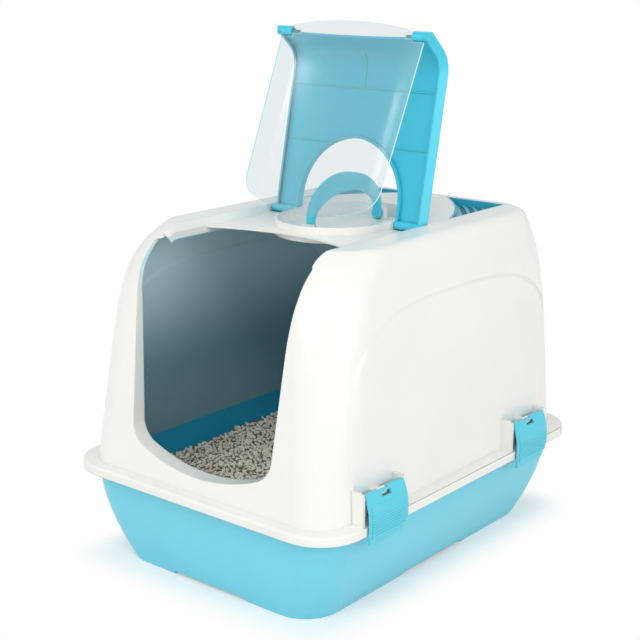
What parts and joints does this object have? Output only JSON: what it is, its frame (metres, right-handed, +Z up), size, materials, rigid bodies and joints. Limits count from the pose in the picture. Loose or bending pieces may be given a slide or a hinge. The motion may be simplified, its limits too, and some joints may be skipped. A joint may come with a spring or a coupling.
{
  "type": "covered litter box",
  "caption": "Hooded pet litter box: a deep tray under a domed cover with a front doorway, a flip-up lid carrying a clear swing door, a fold-down carry handle and side clips.",
  "frame": {"origin": "centre of the footprint on the floor, under the tray's feet", "axes": "+X to the right of the box seen from its doorway, +Y from the doorway to the back, +Z up"},
  "size_m": [0.4022, 0.492, 0.6045],
  "materials": {
    "tray_plastic": "satin sky-blue moulding",
    "hood_plastic": "glossy warm white moulding",
    "lid_plastic": "satin turquoise moulding",
    "clear_plastic": "clear, glossy",
    "pin_plastic": "moulded pins",
    "litter": "matt grey clay granules"
  },
  "bodies": {
    "tray": {"base_tray": "tray_plastic", "litter_bed": "litter"},
    "cover": {"hood": "hood_plastic", "vent_grille_left": "lid_plastic", "vent_grille_right": "lid_plastic", "lid_pivot_left": "pin_plastic", "lid_pivot_right": "pin_plastic", "handle_pivot_front": "pin_plastic", "handle_pivot_rear": "pin_plastic", "clip_pin_front_right": "pin_plastic", "clip_pin_front_left": "pin_plastic", "clip_pin_rear_right": "pin_plastic", "clip_pin_rear_left": "pin_plastic"},
    "lid": {"flip_lid": "lid_plastic", "door_pivot_left": "pin_plastic", "door_pivot_right": "pin_plastic"},
    "door": {"swing_door": "clear_plastic"},
    "handle": {"carry_handle": "lid_plastic"},
    "clip_front_right_body": {"clip_front_right": "lid_plastic"},
    "clip_front_left_body": {"clip_front_left": "lid_plastic"},
    "clip_rear_right_body": {"clip_rear_right": "lid_plastic"},
    "clip_rear_left_body": {"clip_rear_left": "lid_plastic"}
  },
  "joints": [
    {"name": "hood_lift", "type": "slide", "parent": "tray", "child": "cover", "axis": [0, 0, 1], "range_m": [0, 0.3]},
    {"name": "lid_flip", "type": "hinge", "parent": "cover", "child": "lid", "pos_m": [0, 0.027, 0.3804], "axis": [1, 0, 0], "range_deg": [0, 101.8]},
    {"name": "door_hang", "type": "hinge", "parent": "lid", "child": "door", "pos_m": [0, 0.03535, 0.58927], "axis": [1, 0, 0], "range_deg": [-89.81, 0]},
    {"name": "handle_fold", "type": "hinge", "parent": "cover", "child": "handle", "pos_m": [0, 0.025, 0.3775], "axis": [0, 1, 0], "range_deg": [-88, 88]},
    {"name": "clip_front_right_swing", "type": "hinge", "parent": "cover", "child": "clip_front_right_body", "pos_m": [0.1872, -0.151, 0.144], "axis": [0, -1, 0], "range_deg": [-3, 70]},
    {"name": "clip_front_left_swing", "type": "hinge", "parent": "cover", "child": "clip_front_left_body", "pos_m": [-0.1872, -0.151, 0.144], "axis": [0, 1, 0], "range_deg": [-3, 70]},
    {"name": "clip_rear_right_swing", "type": "hinge", "parent": "cover", "child": "clip_rear_right_body", "pos_m": [0.1872, 0.131, 0.144], "axis": [0, -1, 0], "range_deg": [-3, 70]},
    {"name": "clip_rear_left_swing", "type": "hinge", "parent": "cover", "child": "clip_rear_left_body", "pos_m": [-0.1872, 0.131, 0.144], "axis": [0, 1, 0], "range_deg": [-3, 70]}
  ],
  "couplings": [
    {"joint": "door_hang", "follows": "lid_flip", "ratio": -0.88212}
  ]
}
